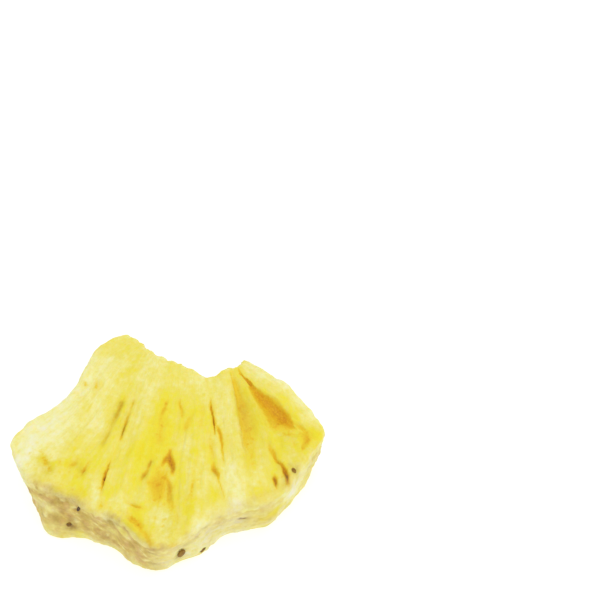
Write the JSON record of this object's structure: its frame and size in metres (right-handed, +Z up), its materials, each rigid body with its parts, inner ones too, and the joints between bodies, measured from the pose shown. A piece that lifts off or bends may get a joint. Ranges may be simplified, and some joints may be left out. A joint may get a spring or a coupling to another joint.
{
  "type": "freeze-dried pineapple piece",
  "caption": "Quarter of a cored, peeled pineapple ring, freeze-dried: thick creased slab with a concave core edge, two knife cuts and a scalloped rind side, lying flat.",
  "frame": {"origin": "under the middle of the piece's bounding box, on the flat lower cut face", "axes": "+X across the piece from the left knife cut to the right one, seen from the rind side; +Y from the rind side to the core side; +Z up, out of the creased top"},
  "size_m": [0.0558, 0.0442, 0.0135],
  "materials": {
    "dried_flesh": "matt, dry and porous, pale cream to saturated yellow, ochre in the gaps between the fibres"
  },
  "bodies": {
    "root": {"pineapple_slice": "dried_flesh"}
  },
  "joints": []
}
